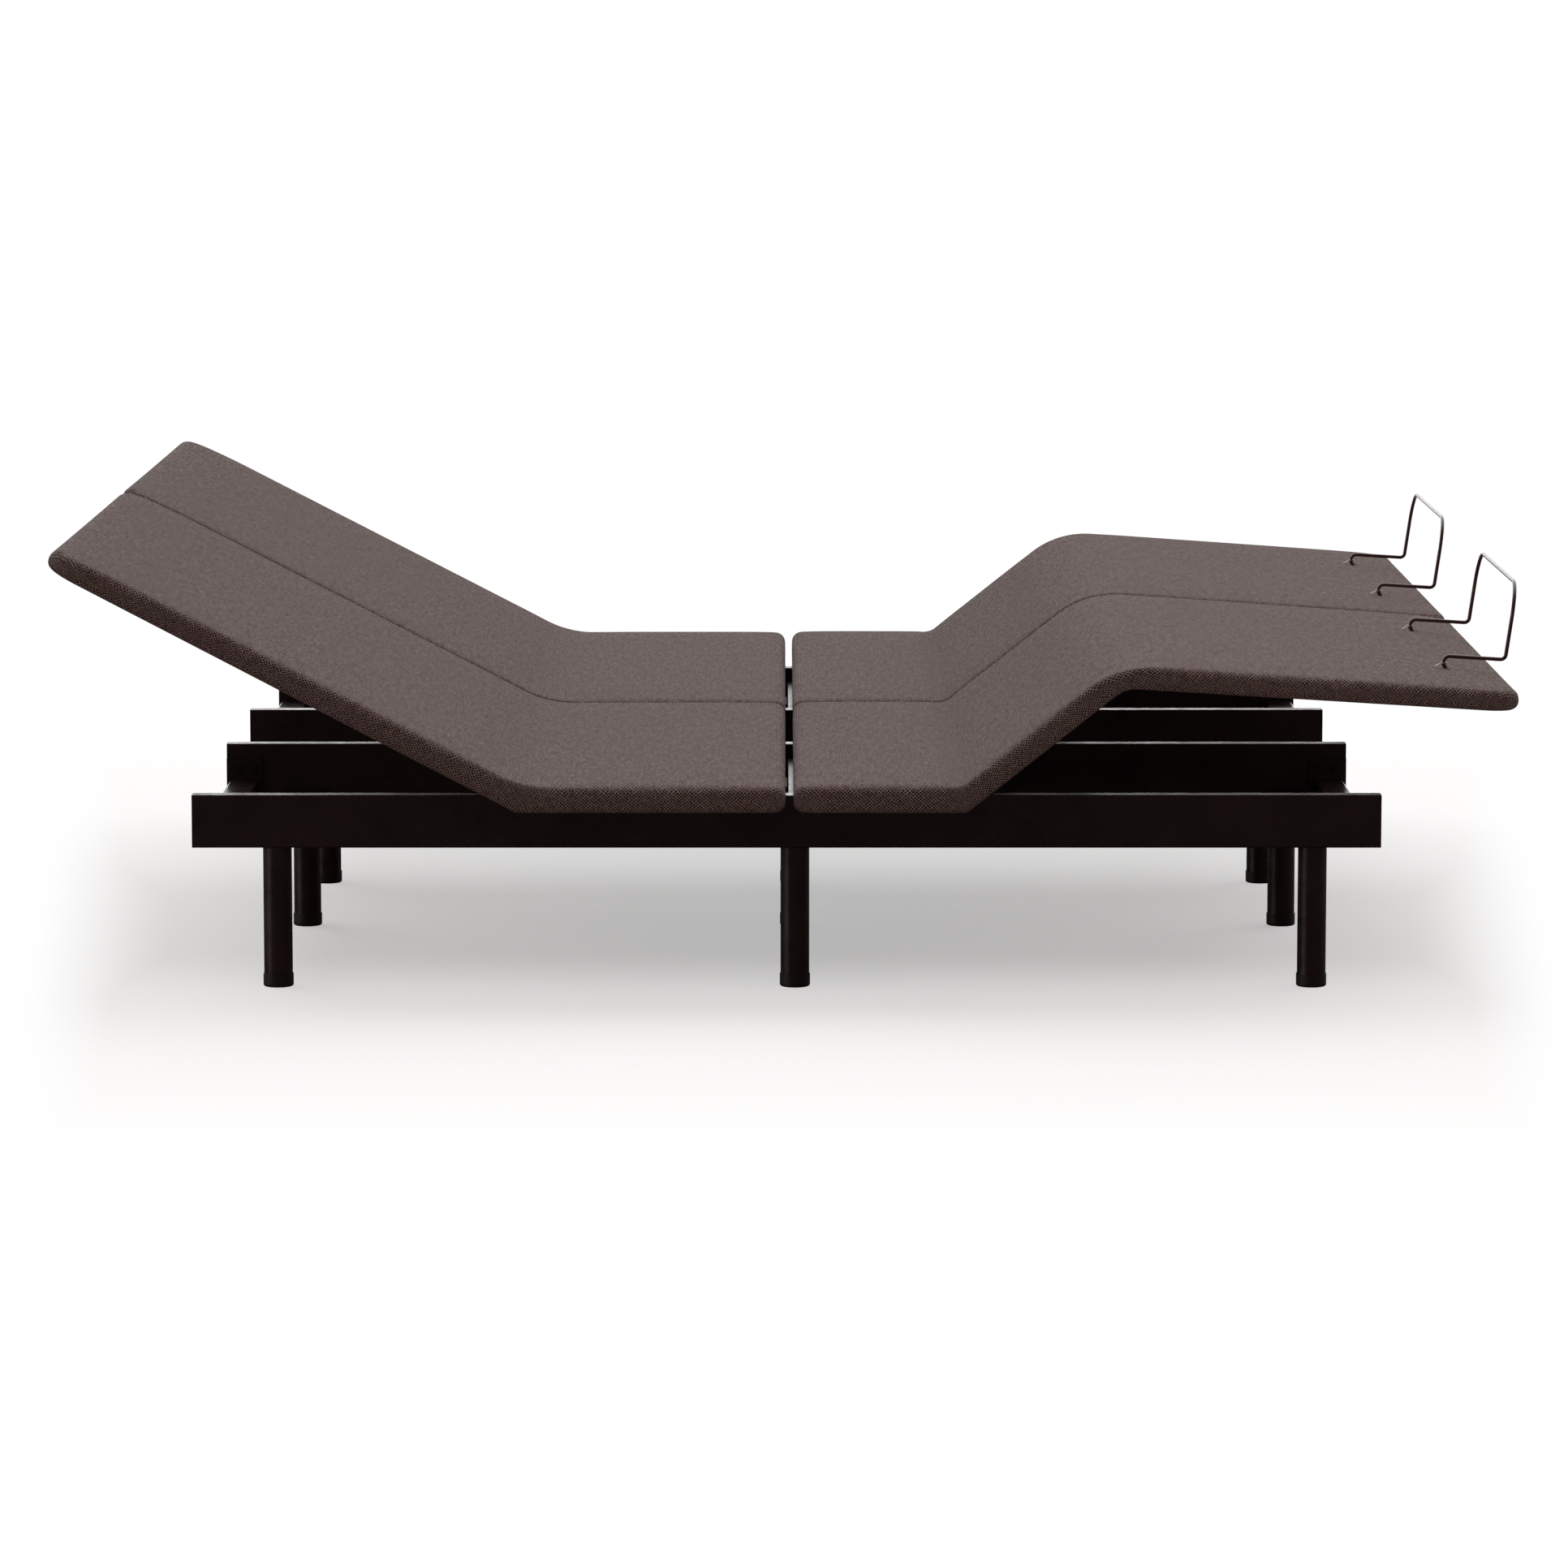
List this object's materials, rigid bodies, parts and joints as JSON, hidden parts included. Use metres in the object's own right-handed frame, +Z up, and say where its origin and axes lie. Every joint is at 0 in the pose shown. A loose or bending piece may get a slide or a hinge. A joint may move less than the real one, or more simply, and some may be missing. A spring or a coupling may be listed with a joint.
{
  "type": "adjustable bed base",
  "caption": "Split adjustable bed base: twin motorised units on steel legs with folding upholstered head, seat, thigh and foot sections and wire mattress retainer bars.",
  "frame": {"origin": "middle of the pair's bounding box at rest, on the floor", "axes": "+X from the head end to the foot end, +Y from the right unit to the left unit, across both decks, +Z up"},
  "size_m": [1.9143, 1.92, 0.5986],
  "materials": {
    "frame_paint": "black powder coat, fine satin",
    "lift_paint": "black powder coat, matte",
    "plywood": "raw birch plywood",
    "fabric": "heathered taupe-grey tweed upholstery",
    "zinc": "bright zinc plate",
    "black_bolts": "black zinc plate",
    "black_plastic": "black moulded plastic",
    "bronze_wire": "dark bronze gloss coat",
    "clip_metal": "plain sheet steel"
  },
  "bodies": {
    "root": {"right_outer_rail": "frame_paint", "right_inner_rail": "frame_paint", "right_head_cross_tube": "frame_paint", "right_middle_cross_tube": "frame_paint", "right_foot_cross_tube": "frame_paint", "right_legs": "frame_paint", "right_leg_glides": "black_plastic", "right_hinge_pins": "zinc", "right_frame_bolts": "black_bolts", "right_control_box": "black_plastic", "right_front_seat_board": "plywood", "right_rear_seat_board": "plywood", "right_front_seat_pad": "fabric", "right_rear_seat_pad": "fabric", "right_head_actuator": "black_plastic", "right_leg_actuator": "black_plastic", "left_outer_rail": "frame_paint", "left_inner_rail": "frame_paint", "left_head_cross_tube": "frame_paint", "left_middle_cross_tube": "frame_paint", "left_foot_cross_tube": "frame_paint", "left_legs": "frame_paint", "left_leg_glides": "black_plastic", "left_hinge_pins": "zinc", "left_frame_bolts": "black_bolts", "left_control_box": "black_plastic", "left_front_seat_board": "plywood", "left_rear_seat_board": "plywood", "left_front_seat_pad": "fabric", "left_rear_seat_pad": "fabric", "left_head_actuator": "black_plastic", "left_leg_actuator": "black_plastic"},
    "right_head": {"right_head_board": "plywood", "right_head_pad": "fabric", "right_head_lift_frame": "lift_paint"},
    "right_head_rod": {"right_head_actuator_rod": "zinc"},
    "right_thigh": {"right_thigh_board": "plywood", "right_thigh_pad": "fabric", "right_thigh_lift_frame": "lift_paint"},
    "right_leg_rod": {"right_leg_actuator_rod": "zinc"},
    "right_foot": {"right_foot_board": "plywood", "right_foot_pad": "fabric", "right_foot_brackets": "lift_paint", "right_retainer_bar": "bronze_wire", "right_retainer_clips": "clip_metal"},
    "right_foot_link": {"right_foot_link_bar": "lift_paint"},
    "left_head": {"left_head_board": "plywood", "left_head_pad": "fabric", "left_head_lift_frame": "lift_paint"},
    "left_head_rod": {"left_head_actuator_rod": "zinc"},
    "left_thigh": {"left_thigh_board": "plywood", "left_thigh_pad": "fabric", "left_thigh_lift_frame": "lift_paint"},
    "left_leg_rod": {"left_leg_actuator_rod": "zinc"},
    "left_foot": {"left_foot_board": "plywood", "left_foot_pad": "fabric", "left_foot_brackets": "lift_paint", "left_retainer_bar": "bronze_wire", "left_retainer_clips": "clip_metal"},
    "left_foot_link": {"left_foot_link_bar": "lift_paint"}
  },
  "joints": [
    {"name": "right_head_tilt", "type": "hinge", "parent": "root", "child": "right_head", "pos_m": [-0.3588, -0.4825, 0.2474], "axis": [0, 1, 0], "range_deg": [-27.65, 32.35]},
    {"name": "right_head_actuator_stroke", "type": "slide", "parent": "root", "child": "right_head_rod", "axis": [-1, 0, 0], "range_m": [-0.0327, 0.0382]},
    {"name": "right_thigh_lift", "type": "hinge", "parent": "root", "child": "right_thigh", "pos_m": [0.2294, -0.4825, 0.2474], "axis": [0, -1, 0], "range_deg": [-38.4, 6.6]},
    {"name": "right_knee_fold", "type": "hinge", "parent": "right_thigh", "child": "right_foot", "pos_m": [0.43277, -0.4825, 0.40859], "axis": [0, 1, 0], "range_deg": [-41.9, 7.21]},
    {"name": "right_foot_link_swing", "type": "hinge", "parent": "root", "child": "right_foot_link", "pos_m": [0.2971, -0.4825, 0.214], "axis": [0, -1, 0], "range_deg": [-39.02, 6.71]},
    {"name": "right_leg_actuator_stroke", "type": "slide", "parent": "root", "child": "right_leg_rod", "axis": [1, 0, 0], "range_m": [-0.0439, 0.0076]},
    {"name": "left_head_tilt", "type": "hinge", "parent": "root", "child": "left_head", "pos_m": [-0.3588, 0.4825, 0.2474], "axis": [0, 1, 0], "range_deg": [-27.65, 32.35]},
    {"name": "left_head_actuator_stroke", "type": "slide", "parent": "root", "child": "left_head_rod", "axis": [-1, 0, 0], "range_m": [-0.0327, 0.0382]},
    {"name": "left_thigh_lift", "type": "hinge", "parent": "root", "child": "left_thigh", "pos_m": [0.2294, 0.4825, 0.2474], "axis": [0, -1, 0], "range_deg": [-38.4, 6.6]},
    {"name": "left_knee_fold", "type": "hinge", "parent": "left_thigh", "child": "left_foot", "pos_m": [0.43277, 0.4825, 0.40859], "axis": [0, 1, 0], "range_deg": [-41.9, 7.21]},
    {"name": "left_foot_link_swing", "type": "hinge", "parent": "root", "child": "left_foot_link", "pos_m": [0.2971, 0.4825, 0.214], "axis": [0, -1, 0], "range_deg": [-39.02, 6.71]},
    {"name": "left_leg_actuator_stroke", "type": "slide", "parent": "root", "child": "left_leg_rod", "axis": [1, 0, 0], "range_m": [-0.0439, 0.0076]}
  ],
  "couplings": [
    {"joint": "right_head_actuator_stroke", "follows": "right_head_tilt", "m_per_rad": 0.0676},
    {"joint": "right_knee_fold", "follows": "right_thigh_lift", "ratio": 1.0911},
    {"joint": "right_foot_link_swing", "follows": "right_thigh_lift", "ratio": 1.0161},
    {"joint": "right_leg_actuator_stroke", "follows": "right_thigh_lift", "m_per_rad": 0.0654},
    {"joint": "left_head_actuator_stroke", "follows": "left_head_tilt", "m_per_rad": 0.0676},
    {"joint": "left_knee_fold", "follows": "left_thigh_lift", "ratio": 1.0911},
    {"joint": "left_foot_link_swing", "follows": "left_thigh_lift", "ratio": 1.0161},
    {"joint": "left_leg_actuator_stroke", "follows": "left_thigh_lift", "m_per_rad": 0.0654}
  ]
}
